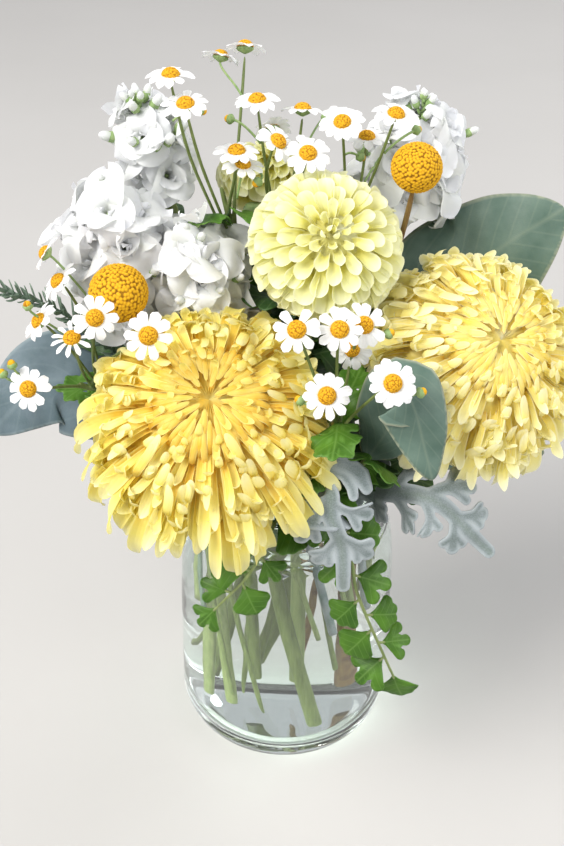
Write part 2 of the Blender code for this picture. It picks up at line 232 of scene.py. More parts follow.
class Form:
    """Surfaces in millimetres, collected to make one piece."""

    def __init__(self):
        self.points = []
        self.tints = []
        self.faces = []
        self.kinds = []
        self.count = 0

    def add(self, points, tints, faces, kind):
        self.points.append(points)
        self.tints.append(tints)
        self.faces.append(faces + self.count)
        self.kinds.append(np.full(len(faces), kind))
        self.count += len(points)

    def grid(self, points, chance=0.5, kind=0, ring=False, along=None):
        """A surface through rows and columns of points; ring joins its last column to its first."""
        rows, columns = points.shape[:2]
        across = np.tile(np.linspace(0, 1, columns), rows)
        steps = np.linspace(0, 1, rows) if along is None else along
        tints = np.stack([across, np.repeat(steps, columns), np.full(rows * columns, chance)], 1)
        self.add(points.reshape(-1, 3), tints, grid_faces(rows, columns, ring), kind)

    def include(self, other, place=np.eye(3), centre=(0, 0, 0)):
        """Add another form, turned by place and moved to centre."""
        for points, tints, faces, kinds in zip(other.points, other.tints, other.faces, other.kinds):
            self.add(points @ place.T + np.asarray(centre), tints, faces - faces.min(), kinds[0])

    def piece(self, name, materials, slot, nodes=(), thickness=0.0):
        """Make the mesh object, hang it on the frame's one body and give it its finish."""
        points = np.concatenate(self.points)
        faces = np.concatenate(self.faces)
        mesh = bpy.data.meshes.new(name)
        mesh.from_pydata((points * MM).tolist(), [], faces.tolist())
        tint = mesh.attributes.new("tint", "FLOAT_VECTOR", "POINT")
        tint.data.foreach_set("vector", np.concatenate(self.tints).astype(np.float32).ravel())
        for material in materials:
            mesh.materials.append(material)
        mesh.polygons.foreach_set("material_index", np.concatenate(self.kinds).astype(np.int32))
        mesh.shade_smooth()
        item = bpy.data.objects.new(name, mesh)
        bpy.context.scene.collection.objects.link(item)
        if thickness:
            shell = item.modifiers.new("thickness", "SOLIDIFY")
            shell.thickness = thickness * MM
            shell.offset = 0
        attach(item, "root")
        if nodes:
            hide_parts(*nodes)


def strap(form, line, side, widths, cup, columns, chance, ruffle=0.0, grain=0.0, along=None):
    """A petal along a line: half widths and cup angles by row; its edges curl to tangent x side."""
    side = np.broadcast_to(side, line.shape)
    lift = units(np.cross(directions(line), side))
    u = np.linspace(-1, 1, columns)
    bend = np.broadcast_to(np.maximum(cup, 1e-3), len(line))[:, None] * u
    scale = (np.asarray(widths) / np.maximum(cup, 1e-3))[:, None]
    out = np.sin(bend) * scale
    rise = (1 - np.cos(bend)) * scale
    rise = rise + ruffle + grain * np.cos(u * math.pi * 3)
    points = line[:, None] + out[..., None] * side[:, None] + rise[..., None] * lift[:, None]
    form.grid(points, chance, along=along)


def rod(form, line, radii, sides=8, chance=0.5, kind=0):
    """A round stem along a line, closed at both ends."""
    line = np.asarray(line, float)
    run = directions(line)
    guide = UP if abs(run[:, 2]).mean() < 0.7 else np.array([1.0, 0.0, 0.0])
    side = units(np.cross(run, guide))
    lift = np.cross(run, side)
    radii = np.broadcast_to(radii, len(line)).astype(float)
    rows = np.concatenate([[0], np.arange(len(line)), [len(line) - 1]])
    sizes = np.concatenate([[0.02], radii, [0.02]])
    angle = turns(sides)
    ring = np.cos(angle)[None, :, None] * side[rows][:, None]
    ring = ring + np.sin(angle)[None, :, None] * lift[rows][:, None]
    form.grid(line[rows][:, None] + ring * sizes[:, None, None], chance, kind, ring=True)


def ball(form, centre, axis, radii, rows, columns, kind, chance=0.5, ribs=0, depth=0.0):
    """An ovoid of (radius, half length) about an axis, with optional ribs."""
    down = np.linspace(0.02, math.pi - 0.02, rows)[::-1, None]
    around = turns(columns)
    wide = np.sin(down) * radii[0] * (1 + depth * np.cos(ribs * around))
    points = turned(wide, np.cos(down) * radii[1], around)
    form.grid(points @ turn_to(axis).T + np.asarray(centre), chance, kind, ring=True)


def petal_rows(rows):
    """Places along a petal, closer together towards its round tip."""
    return 1 - (1 - np.linspace(0, 1, rows)) ** 1.8


def petal_widths(t, base, tip_start):
    """Share of the full half width at places along a petal: narrow at its base, round at its tip."""
    body = base + (1 - base) * np.minimum(t / tip_start, 1) ** 0.8
    end = np.clip((t - tip_start) / (1 - tip_start), 0, 1)
    return body * np.sqrt(np.maximum(1 - end**2, 0.012))


def petal_line(points, rows):
    """A smooth line through the points with the rows of a petal."""
    line = smooth_line(points, 24)
    place = petal_rows(rows) * 23
    return np.stack([np.interp(place, np.arange(24), line[:, k]) for k in range(3)], 1)


# ---------------------------------------------------------------- flowers


def dome(theta, reach, crown, skirt):
    """Point (outward, upward) of a flower's rounded face at an angle from its axis."""
    up = crown if theta < math.pi / 2 else skirt
    return np.array([reach * math.sin(theta), up * math.cos(theta)])


def radial(point, angle):
    """A point given as (outward, upward), carried to that angle about +Z."""
    return np.array([point[0] * math.cos(angle), point[0] * math.sin(angle), point[1]])


def rolled(line, side, roll):
    """A side direction for each row, turned about the line."""
    side = np.broadcast_to(side, line.shape)
    return side * math.cos(roll) + units(np.cross(directions(line), side)) * math.sin(roll)


def cushion(form, size, last, share):
    """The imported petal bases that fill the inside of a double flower, as one rippled surface."""
    theta = np.linspace(last, 0.001, 40)[:, None]
    around = turns(90)
    profile = np.array([dome(t, *size) for t in theta[:, 0]])
    ripple = 1 + 0.03 * np.sin(31 * around + 9 * theta) * np.sin(17 * theta)
    points = turned(profile[:, :1] * ripple, profile[:, 1:] * ripple, around)
    form.grid(points, 0.5, 0, ring=True, along=np.full(len(theta), share))


def mum_petal(form, draw, points, angle, half, tip_start, cups, loose, tone=1.0):
    """One petal through (outward, upward) points, with a lean, a roll and a size of its own."""
    rows = 13
    t = petal_rows(rows)
    line = petal_line([radial(p, angle) for p in points], rows)
    side = sideways(angle)
    line = line + side * (loose * draw.normal(0, 1.5) * t[:, None] ** 2)
    widths = half * draw.uniform(0.85, 1.15) * petal_widths(t, 0.5, tip_start)
    side = rolled(line, side, loose * draw.normal(0, 0.30))
    cup = cups[0] + (cups[1] - cups[0]) * t
    strap(form, line, side, widths, cup, 7, draw.uniform(), grain=0.05, along=t * tone)


def chrysanthemum(radius, seed, spread):
    """A double flower: fine tips close over its heart, spoons stand on its dome, long rays hang below."""
    form = Form()
    draw = dice(seed)
    hearts, spoons, rays = 76, 470, 96
    tall = np.array([radius, 0.70 * radius, 0.60 * radius])
    cushion(form, tall * 0.85, math.radians(150), 0.40)
    for i in range(hearts):
        theta = math.radians(1.5 + 17 * math.sqrt((i + 0.5) / hearts))
        points = [dome(theta + 0.42, *tall) * 0.55, dome(theta + 0.36, *tall) * 0.86,
                  dome(theta + 0.20, *tall) * 0.98, dome(theta, *tall) * draw.uniform(0.93, 0.99)]
        mum_petal(form, draw, points, i * GOLDEN_ANGLE, 1.0 + 1.6 * theta, 0.80, (1.2, 1.0), 0.3, 0.55)
    low, high = math.cos(math.radians(15)), math.cos(math.radians(92))
    for i in range(spoons):
        share = (i + 0.5) / spoons
        theta = math.acos(low - share**0.85 * (low - high))
        angle = i * GOLDEN_ANGLE + draw.normal(0, 0.12)
        loose = np.interp(share, [0, 0.25, 0.5, 1], [0.5, 1.1, 1.6, 1.3])
        size = tall * (1 + loose * draw.normal(0, 0.03))
        back = np.interp(share, [0, 0.3, 1], [0.24, 0.28, 0.34])
        curl = loose * draw.normal(-0.05, 0.12)
        lift = 1.03 + loose * abs(draw.normal(0, 0.025))
        hook = np.interp(share, [0, 0.15, 0.65, 1], [0.1, 0.7, 0.9, 0.2])
        points = [dome(theta - back, *size) * 0.62, dome(theta - back * 0.75, *size) * 0.86,
                  dome(theta + 0.03 * hook, *size) * 0.98,
                  dome(theta + curl - 0.06 * hook, *size) * (lift + 0.05 * hook)]
        half = np.interp(share, [0, 0.25, 0.6, 1], [1.4, 1.95, 2.5, 2.8])
        mum_petal(form, draw, points, angle, half, 0.82, (1.35, 0.85), loose, min(0.74 + 1.6 * share, 1.0))
    low, high = math.cos(math.radians(80)), math.cos(math.radians(124))
    for i in range(rays):
        share = (i + 0.5) / rays
        theta = math.acos(low - share * (low - high))
        angle = i * GOLDEN_ANGLE + draw.normal(0, 0.18)
        size = tall * np.interp(share, [0, 0.4, 1], [1.04, 1.14, 1.20]) * draw.uniform(0.86, 1.08) * spread
        points = [dome(theta - 0.75, *size) * 0.50, dome(theta - 0.60, *size) * 0.78,
                  dome(theta - 0.25, *size) * 0.95, dome(theta, *size) * 1.02]
        mum_petal(form, draw, points, angle, 3.2, 0.70, (0.9, 0.6), 1.5)
    return form


def dahlia(radius, seed):
    """A ball dahlia: round scoops that open outwards, in spirals that grow from the heart."""
    form = Form()
    draw = dice(seed)
    count = 158
    rows = 14
    t = petal_rows(rows)
    last = math.radians(142)
    cushion(form, np.array([0.74, 0.60, 0.44]) * radius, math.radians(130), 0.30)
    for i in range(count):
        share = (i + 0.6) / count
        theta = math.acos(1 - share**1.15 * (1 - math.cos(last)))
        angle = i * GOLDEN_ANGLE + draw.normal(0, 0.05)
        size = draw.uniform(0.97, 1.04)
        half = np.interp(share, [0, 0.06, 0.2, 0.5, 1], [0.05, 0.085, 0.15, 0.21, 0.26])
        throat = theta - half * 1.5
        tall = np.array([radius, 0.80 * radius, 0.62 * radius]) * size
        curl = np.interp(share, [0, 0.12, 0.3], [-0.14, -0.04, 0.0])
        low = dome(throat, *tall) * 0.60
        rise = dome(throat + half * 0.15, *tall) * 0.80
        belly = dome(theta - half * 0.5, *tall) * 0.88
        lip = dome(max(theta + half * 0.55 + curl, 0.02), *tall) * 1.0
        points = np.array([low, rise, belly, lip])
        length = np.linalg.norm(np.diff(points, axis=0), axis=1).sum()
        line = petal_line([radial(p, angle) for p in points], rows)
        round_end = 1 - min(0.9 * half * radius / length, 0.6)
        widths = half * radius * draw.uniform(0.94, 1.06) * petal_widths(t, 0.45, round_end)
        side = rolled(line, sideways(angle), draw.normal(0, 0.08))
        strap(form, line, side, widths, 1.6 - 0.75 * t**2, 11, draw.uniform(), along=t)
    return form


def daisy(radius, seed, wide):
    """Up to thirteen grooved rays round a domed disc of tiny florets, over a green cup."""
    form = Form()
    draw = dice(seed)
    rays = int(draw.integers(10, 14))
    disc = 0.37 * radius
    for i in range(rays):
        if draw.uniform() < 0.05:
            continue
        angle = 2 * math.pi * (i + draw.normal(0, 0.09)) / rays
        end = radius * draw.uniform(0.90, 1.04)
        sag = draw.normal(-0.5, 0.6)
        points = [(disc * 0.75, 0.3), (disc * 1.4, 0.9), (end * 0.75, 0.7), (end, 0.1 + sag)]
        line = bezier([radial(p, angle) for p in points], 8)
        widths = radius * wide * draw.uniform(0.9, 1.1) * petal_widths(np.linspace(0, 1, 8), 0.5, 0.72)
        strap(form, line, sideways(angle), widths, 0.35, 9, draw.uniform(), grain=0.07)
    stretch = np.array([disc, disc, 0.30 * radius])
    down = np.linspace(0.03, math.pi / 2, 22)[::-1, None]
    packed_florets(form, down, 48, 150, stretch, 0.40, 0.10 * disc, "disc", draw.uniform(), 1, 0.35)
    down = np.linspace(0, 1, 6)[:, None]
    around = turns(20)
    wide = disc * np.interp(down, [0, 0.25, 0.6, 1], [0.9, 1.05, 0.75, 0.14])
    cup = turned(wide * (1 + 0.06 * np.cos(10 * around)), 0.25 - 0.28 * radius * down, around)
    form.grid(cup, 0.5, 2, ring=True)
    return form


def lattice(count, bottom):
    """Directions spread evenly over a sphere, from its top down to a height."""
    height = 1 - (1 - bottom) * (np.arange(count) + 0.5) / count
    return turned(np.sqrt(1 - height**2), height, np.arange(count) * GOLDEN_ANGLE)


def knobbly(points, knobs, pitch, height, stretch):
    """Push points on a unit sphere out into one rounded knob for each direction."""
    tree = KDTree(len(knobs))
    for i, knob in enumerate(knobs):
        tree.insert(Vector(knob), i)
    tree.balance()
    found = [tree.find(Vector(point)) for point in points]
    near = np.clip(np.array([item[2] for item in found]) / pitch, 0, 1)
    lift = np.sqrt(1 - near**2 * 0.96)
    which = np.array([item[1] for item in found])
    tall = 0.75 + 0.5 * ((which * 0.61803) % 1)
    pushed = points * stretch + points * (height * tall * (lift - 0.6))[:, None]
    return pushed, near, which


def packed_florets(form, down, columns, count, stretch, jitter, height, seed, chance=0.0, kind=0, lift=0.0):
    """A dome or globe of tiny florets, one knob for each, over the angles down from its top."""
    sphere = turned(np.sin(down), np.cos(down), turns(columns)).reshape(-1, 3)
    bottom = round(math.cos(down[0, 0]))
    pitch = math.sqrt(2 * math.pi * (1 - bottom) / count) * 0.62
    knobs = lattice(count, bottom)
    knobs = units(knobs + dice(seed).normal(0, pitch * jitter, knobs.shape))
    points, near, which = knobbly(sphere, knobs, pitch, height, stretch)
    along = (sphere[:, 2] - bottom) / (1 - bottom)
    tints = np.stack([near, along, (which * 0.37 + chance) % 1], 1)
    form.add(points + UP * lift, tints, grid_faces(len(down), columns, True), kind)


def craspedia(radius, depth):
    """A globe of tightly packed tiny florets."""
    form = Form()
    down = np.linspace(0.01, math.pi - 0.01, 110)[::-1, None]
    stretch = np.array([radius, radius, depth]) * 0.97
    packed_florets(form, down, 200, 720, stretch, 0.26, 0.075 * radius, "globe")
    return form


# the whorls of four petals in a stock floret, from the outside in: length, lean and half width
STOCK_WHORLS = ((1.0, 1.45, 0.58), (0.88, 1.12, 0.52), (0.66, 0.75, 0.42), (0.42, 0.35, 0.28))


def ruffled(u, s, waves, depth, flop):
    """How far a stock petal stands off its plane, at u across it (-1 to 1) and s along it (0 to 1)."""
    rim = np.clip(s - 0.2, 0, 1) * (0.4 + 0.6 * abs(u))
    fold = np.sin(2.4 * u + waves[0] + 1.2 * s) + 0.5 * np.sin(4.0 * s + waves[1] + 2.0 * u)
    return depth * rim * (fold + 0.2 * np.sin(6.0 * u + waves[2])) - flop * s**3 - flop * u**2 * s


def stock_floret(size, seed):
    """A loose double floret that faces +Z."""
    form = Form()
    draw = dice(seed)
    rows = columns = 13
    t = petal_rows(rows)
    for number, (length, open_out, wide) in enumerate(STOCK_WHORLS):
        for i in range(4):
            angle = 2 * math.pi * (i + 0.5 * number + draw.normal(0, 0.12)) / 4
            end = size * length * draw.uniform(0.88, 1.12)
            lean = open_out * draw.uniform(0.75, 1.12)
            tip = np.array([math.sin(lean), math.cos(lean)]) * end
            belly = np.array([math.sin(lean * 0.55), math.cos(lean * 0.55)]) * end * 0.62
            points = [(0.03 * size, -0.3 * size), (0.07 * size, 0.0), belly, tip]
            line = petal_line([radial(p, angle) for p in points], rows)
            widths = size * wide * draw.uniform(0.9, 1.12) * petal_widths(t, 0.10, 0.55)
            waves = draw.uniform(0, 2 * math.pi, 3)
            depth = size * (0.09 + 0.035 * number)
            flop = draw.normal(0.10, 0.14) * size
            ruffle = ruffled(np.linspace(-1, 1, columns), t[:, None], waves, depth, flop)
            side = rolled(line, sideways(angle), draw.normal(0, 0.25))
            strap(form, line, side, widths, 0.25, columns, draw.uniform(), ruffle=ruffle, along=t)
    ball(form, (0, 0, 0.02 * size), UP, (0.06 * size, 0.12 * size), 6, 8, 1)
    return form


def bud(form, foot, axis, size, draw):
    """A white bud that shows above the ribs of its green calyx."""
    centre = foot + axis * size * 1.1
    apart = axis * size * 0.25
    ball(form, centre + apart, axis, (size * 0.52, size * 0.95), 8, 10, 0, draw.uniform(), 4, 0.08)
    ball(form, centre - apart, axis, (size * 0.56, size * 0.85), 8, 12, 1, draw.uniform(), 4, 0.12)


def stock_spike(node, stem, florets, size, buds, seed):
    """Florets round a thick green axis, closed buds at its top."""
    form = Form()
    draw = dice(seed)
    foot, axis, length, radius = tall_head(node, stem)
    turn = turn_to(axis)
    core = [foot - axis * 3, foot + axis * length * 0.5, foot + axis * length * 0.82]
    rod(form, smooth_line(core, 8), np.linspace(2.2, 1.0, 8), chance=0.4, kind=1)
    for i in range(florets):
        share = (i + 0.5) / florets
        angle = i * GOLDEN_ANGLE + draw.normal(0, 0.15)
        lift = np.interp(share, [0, 1], [0.15, 0.95]) + draw.normal(0, 0.08)
        way = turn @ outward(angle)
        face = unit(way * math.cos(lift) + axis * math.sin(lift))
        scale = size * np.interp(share, [0, 0.7, 1], [1.0, 0.95, 0.78]) * draw.uniform(0.92, 1.08)
        out = max(radius - scale * 0.50, 2.0) * np.interp(share, [0, 0.6, 1], [1.0, 0.95, 0.5])
        root = foot + axis * length * np.interp(share, [0, 1], [0.10, 0.84])
        place = root + way * out
        form.include(stock_floret(scale, f"{seed}{i}"), turn_to(face, draw.uniform(0, 6.28)), place)
        stalk = [root, root + way * out * 0.5 - axis, place - face * scale * 0.2]
        rod(form, smooth_line(stalk, 5), 0.8, sides=6, kind=1)
    for i in range(buds):
        lift = draw.uniform(0.3, 0.75)
        way = turn @ outward(i * 2.4)
        start = foot + axis * length * lift + way * (radius - 2)
        rod(form, [start - way * 8 - axis * 3, start - way * 3, start + way], 0.8, sides=6, kind=1)
        bud(form, start, unit(way + axis * 0.7), draw.uniform(2.6, 3.8), draw)
    for i in range(buds):
        share = (i + 0.5) / buds
        way = turn @ outward(i * GOLDEN_ANGLE + 1.0)
        root = foot + axis * length * (0.72 + 0.24 * share)
        aim = unit(way * (1.1 - 0.9 * share) + axis)
        start = root + aim * (4.5 * (1 - share) + 1.0)
        bud(form, start, aim, np.interp(share, [0, 1], [3.4, 1.8]) * draw.uniform(0.9, 1.1), draw)
        rod(form, [root, (root + start) / 2, start + aim], 0.6, sides=6, kind=1)
    return form


# ---------------------------------------------------------------- leaves


def capsules(parts, soften):
    """Signed distance to a set of rounded bars, (x1, y1, x2, y2, radius 1, radius 2), blended softly."""

    def field(x, y):
        total = 0.0
        for x1, y1, x2, y2, r1, r2 in parts:
            dx, dy = x2 - x1, y2 - y1
            t = np.clip(((x - x1) * dx + (y - y1) * dy) / (dx * dx + dy * dy), 0, 1)
            gap = np.hypot(x - x1 - t * dx, y - y1 - t * dy) - (r1 + (r2 - r1) * t)
            total = total + np.exp(-gap / soften)
        return -soften * np.log(np.maximum(total, 1e-30))

    return field


def cut_leaf(field, length, half, cell):
    """Flat points and faces of the region where the field is below 0, its rim drawn to the line."""
    x = np.arange(-cell, length + 2 * cell, cell)
    y = (np.arange(2 * math.ceil(half / cell) + 1) - math.ceil(half / cell)) * cell
    gx, gy = np.meshgrid(x, y, indexing="ij")
    value = field(gx, gy)
    middle = (value[:-1, :-1] + value[1:, :-1] + value[:-1, 1:] + value[1:, 1:]) / 4
    keep = middle < 0
    index = np.arange(gx.size).reshape(gx.shape)
    corners = [index[:-1, :-1], index[1:, :-1], index[1:, 1:], index[:-1, 1:]]
    faces = np.stack(corners, -1)[keep]
    around = np.zeros(gx.shape)
    for a, b in ((0, 0), (1, 0), (1, 1), (0, 1)):
        around[a : a + keep.shape[0], b : b + keep.shape[1]] += keep
    rim = (around > 0) & (around < 4)
    px, py = gx.copy(), gy.copy()
    for _ in range(3):
        here = field(px, py)
        step = 0.05
        sx = (field(px + step, py) - here) / step
        sy = (field(px, py + step) - here) / step
        size = np.maximum(sx**2 + sy**2, 0.3)
        px = np.where(rim, px - here * sx / size, px)
        py = np.where(rim, py - here * sy / size, py)
    used, faces = np.unique(faces, return_inverse=True)
    return px.ravel()[used], py.ravel()[used], faces.reshape(-1, 4), value.ravel()[used]


def lay_leaf(form, field, route, half, cell, draw, face, droop, wave, fold=0.0):
    """A flat leaf of the field's shape, carried onto the route with a droop, a fold and a wave."""
    line = smooth_line(route, 60)
    reach = distances(line)
    run = directions(line)
    side = units(np.cross(run, face))
    lift = np.cross(side, run)
    x, y, faces, depth = cut_leaf(field, reach[-1], half, cell)
    at = np.clip(x, 0, reach[-1])

    def read(values):
        return np.stack([np.interp(at, reach, values[:, k]) for k in range(3)], 1)

    share = y / half
    phase = draw.uniform(0, 2 * math.pi, 2)
    rise = -droop * half * share**2 + fold * abs(y)
    ripple = np.sin(x * 2 * math.pi / (0.45 * reach[-1]) + phase[0] + 1.5 * np.sign(y))
    rise = rise + wave * abs(share) ** 1.5 * ripple + 0.3 * wave * np.sin(x * 0.35 + y * 0.3 + phase[1])
    points = read(line) + y[:, None] * read(side) + rise[:, None] * read(lift)
    points += (x - at)[:, None] * read(run)
    rim = np.clip(-depth / (0.12 * half), 0, 1)
    tints = np.stack([share * 0.5 + 0.5, x / reach[-1], rim], 1)
    form.add(points, tints, faces, 0)


def round_leaf(length, half):
    """Field of a broad leaf with a short point."""
    start = 0.04

    def field(x, y):
        t = np.clip((x / length - start) / (1 - start), -0.2, 1.2)
        inner = np.clip(t, 0, 1)
        edge = half * (np.sin(math.pi * inner**0.85) ** 0.62)
        outside = (np.maximum(-t, 0) + np.maximum(t - 1, 0)) * length
        return abs(y) - edge + outside

    return field


def lobed_leaf(length, half, pairs, lobe, stem_width, forward=0.75, forks=True):
    """Field of a leaf cut into rounded lobes that lean towards its tip."""
    parts = [(0, 0, length * 0.93, 0, stem_width, lobe)]
    for i in range(pairs):
        place = (i + 0.6) / (pairs + 0.35)
        reach = half * math.sin(math.pi * (0.16 + 0.70 * place)) ** 0.8 - lobe
        x = length * (0.12 + 0.70 * place)
        slant = forward + 0.25 * (1 - place)
        for hand in (-1, 1):
            dx = reach * math.cos(slant)
            dy = hand * reach * math.sin(slant)
            parts.append((x - dx * 0.1, 0, x + dx, dy, lobe * 0.75, lobe))
            if forks and reach > 3 * lobe:
                for turn in (-0.75, 0.75):
                    fx = math.cos(turn) * dx - math.sin(turn) * dy
                    fy = math.sin(turn) * dx + math.cos(turn) * dy
                    bx, by = x + dx * 0.55, dy * 0.55
                    parts.append((bx, by, bx + fx * 0.42, by + fy * 0.42, lobe * 0.7, lobe * 0.72))
    return capsules(parts, lobe * 0.12)


def fan_leaflet(form, foot, out, face, size, draw):
    """A small wedge-shaped leaflet with three to five round lobes."""
    lobes = int(draw.integers(3, 6))
    parts = []
    for i in range(lobes):
        turn = (i - (lobes - 1) / 2) * 1.15 / (lobes - 1) * 1.25
        reach = size * (0.80 - 0.10 * abs(turn))
        parts.append((0, 0, reach * math.cos(turn), reach * math.sin(turn), size * 0.05, size * 0.21))
    field = capsules(parts, size * 0.035)
    bow = np.cross(np.cross(out, face), out)
    route = [foot, foot + out * size * 0.5 + bow * size * 0.08, foot + out * size]
    lay_leaf(form, field, route, size * 0.75, size * 0.075, draw, face, 0.18, size * 0.05)


def leaf_stalk(form, line, first, last, kind=1):
    rod(form, line, np.linspace(first, last, len(line)), kind=kind)


# ---------------------------------------------------------------- materials


class Tree:
    """A material's nodes, with short ways to add the usual ones."""

    def __init__(self, name):
        self.material = bpy.data.materials.new(name)
        self.material.use_nodes = True
        self.nodes = self.material.node_tree.nodes
        self.links = self.material.node_tree.links
        self.shader = self.nodes["Principled BSDF"]
        self.output = self.nodes["Material Output"]

    def add(self, kind, links=(), **settings):
        """A node with settings on itself or on its inputs, and links given as (input, socket)."""
        node = self.nodes.new(kind)
        for name, value in settings.items():
            label = name.replace("_", " ").title()
            if label in node.inputs:
                node.inputs[label].default_value = value
            else:
                setattr(node, name, value)
        for name, socket in links:
            self.links.new(socket, node.inputs[name])
        return node

    def tint(self):
        """The sockets across, along and chance."""
        read = self.add("ShaderNodeAttribute", attribute_name="tint")
        split = self.add("ShaderNodeSeparateXYZ", [(0, read.outputs["Vector"])])
        return split.outputs[0], split.outputs[1], split.outputs[2]

    def place(self):
        return self.add("ShaderNodeTexCoord").outputs["Object"]

    def noise(self, scale, detail, stretch=None):
        """Cloudy noise, in features per metre."""
        vector = self.place()
        if stretch:
            mapping = self.add("ShaderNodeMapping", [("Vector", vector)])
            mapping.inputs["Scale"].default_value = stretch
            vector = mapping.outputs[0]
        node = self.add("ShaderNodeTexNoise", [("Vector", vector)], scale=scale, detail=detail)
        return node.outputs["Fac"]

    def math(self, operation, a, b=0.5):
        node = self.add("ShaderNodeMath", operation=operation)
        for socket, value in zip(node.inputs, (a, b)):
            if isinstance(value, (int, float)):
                socket.default_value = value
            else:
                self.links.new(value, socket)
        return node.outputs[0]

    def ramp(self, factor, stops):
        """Colours or greys at positions; each stop is (position, colour)."""
        node = self.add("ShaderNodeValToRGB", [("Fac", factor)])
        band = node.color_ramp
        while len(band.elements) < len(stops):
            band.elements.new(0.5)
        for element, (position, colour) in zip(band.elements, stops):
            element.position = position
            element.color = (*((colour,) * 3 if isinstance(colour, float) else colour), 1)
        return node.outputs["Color"]

    def mix(self, factor, a, b, blend="MIX"):
        node = self.add("ShaderNodeMix", data_type="RGBA", blend_type=blend)
        for socket, value in ((node.inputs[0], factor), (node.inputs[6], a), (node.inputs[7], b)):
            if isinstance(value, tuple):
                socket.default_value = (*value, 1)
            elif isinstance(value, (int, float)):
                socket.default_value = value
            else:
                self.links.new(value, socket)
        return node.outputs[2]

    def bump(self, height, strength, distance):
        node = self.add("ShaderNodeBump", [("Height", height)], strength=strength)
        node.inputs["Distance"].default_value = distance * MM
        self.links.new(node.outputs[0], self.shader.inputs["Normal"])
        return node.outputs[0]

    def set(self, **values):
        """Values or sockets for the main shader's inputs."""
        for name, value in values.items():
            socket = self.shader.inputs[name.replace("_", " ").title().replace("Ior", "IOR")]
            if isinstance(value, bpy.types.NodeSocket):
                self.links.new(value, socket)
            else:
                socket.default_value = (*value, 1) if isinstance(value, tuple) else value

    def thin(self, colour, share, normal):
        """Let light through from the far side, as thin plant tissue does."""
        glow = self.add("ShaderNodeBsdfTranslucent", [("Color", colour), ("Normal", normal)])
        both = self.add("ShaderNodeMixShader", fac=share)
        self.join(both, glow)

    def join(self, both, other):
        """Show the main shader and another one through a Mix Shader node."""
        self.links.new(self.shader.outputs[0], both.inputs[1])
        self.links.new(other.outputs[0], both.inputs[2])
        self.links.new(both.outputs[0], self.output.inputs["Surface"])

    def fade(self, factor, start, end, body, colour):
        """The body's colour turned to another, as a factor runs from one (position, share) to the next."""
        return self.mix(self.ramp(factor, [start, end]), body, colour)

    def finish(self, body, height, depth, grain, rough, specular, thin=0.0):
        """Colour, bump by (strength, millimetres), roughness between two values by grain, gloss and glow."""
        normal = self.bump(height, *depth)
        roughness = self.ramp(grain, [(0.3, rough[0]), (0.7, rough[1])])
        self.set(base_color=body, roughness=roughness, specular_ior_level=specular)
        if thin:
            self.thin(body, thin, normal)
        return self.material


def petal_material(name, stops, variation, thin=0.42, streaks=5.0, edge=None):
    """Petal tissue: its colour runs from base to tip, with fine lengthwise veins."""
    tree = Tree(name)
    across, along, chance = tree.tint()
    body = tree.ramp(along, stops)
    if edge:
        rim = tree.math("ABSOLUTE", tree.math("SUBTRACT", across, 0.5))
        body = tree.fade(rim, (0.34, 0.0), (0.5, 1.0), body, edge)
    body = tree.fade(tree.noise(260, 3), (0.35, 0.0), (0.7, 0.35), body, variation)
    body = tree.mix(tree.math("MULTIPLY", chance, 0.22), body, variation)
    wave = tree.math("SINE", tree.math("MULTIPLY", across, streaks * 2 * math.pi))
    grain = tree.noise(1800, 2)
    height = tree.math("ADD", tree.math("MULTIPLY", wave, 0.5), grain)
    return tree.finish(body, height, (0.35, 0.12), grain, (0.37, 0.55), 0.35, thin)


def floret_material(name, top, flank, gap):
    """Tiny packed florets: pollen-bright on top, with painted shade that darkens the gaps between them."""
    tree = Tree(name)
    near, _, chance = tree.tint()
    # the last stop, gap, is painted shade in the gaps between florets
    body = tree.ramp(near, [(0.0, flank), (0.22, top), (0.72, flank), (0.95, gap)])
    body = tree.mix(tree.math("MULTIPLY", chance, 0.35), body, flank)
    grain = tree.noise(2600, 2)
    return tree.finish(body, grain, (0.5, 0.12), grain, (0.7, 0.9), 0.2)


def stem_material(name, dark, light, brown=None, rough=0.42):
    """Plant stem: lengthwise streaks, brown blotches if it has them, and a satin skin."""
    tree = Tree(name)
    streak = tree.noise(900, 4, (1, 1, 0.12))
    body = tree.fade(streak, (0.25, 0.0), (0.8, 1.0), dark, light)
    if brown:
        body = tree.fade(tree.noise(120, 3), (0.48, 0.0), (0.62, 0.8), body, brown)
    return tree.finish(body, streak, (0.3, 0.12), streak, (rough, rough + 0.2), 0.4, 0.12)


def leaf_material(name, colours, rough, veins, thin, strength):
    """Leaf: a midrib and side veins, blotches of tone and a paler rim."""
    tree = Tree(name)
    dark, light, vein, rim = colours
    across, along, inside = tree.tint()
    off = tree.math("ABSOLUTE", tree.math("SUBTRACT", across, 0.5))
    slant = tree.math("SUBTRACT", along, tree.math("MULTIPLY", off, 0.75))
    wave = tree.math("SINE", tree.math("MULTIPLY", slant, veins * 2 * math.pi))
    side_vein = tree.ramp(wave, [(0.82, 0.0), (1.0, strength)])
    midrib = tree.ramp(off, [(0.0, min(1.0, strength * 2)), (0.03, 0.0)])
    body = tree.fade(tree.noise(110, 4), (0.3, 0.0), (0.72, 1.0), dark, light)
    body = tree.mix(tree.mix(1.0, side_vein, midrib, "LIGHTEN"), body, vein)
    body = tree.fade(inside, (0.0, 0.9), (0.6, 0.0), body, rim)
    fine = tree.noise(1500, 3)
    height = tree.mix(0.5, tree.mix(1.0, side_vein, midrib, "ADD"), fine)
    return tree.finish(body, height, (0.45, 0.3), fine, (rough - 0.06, rough + 0.12), 0.35, thin)


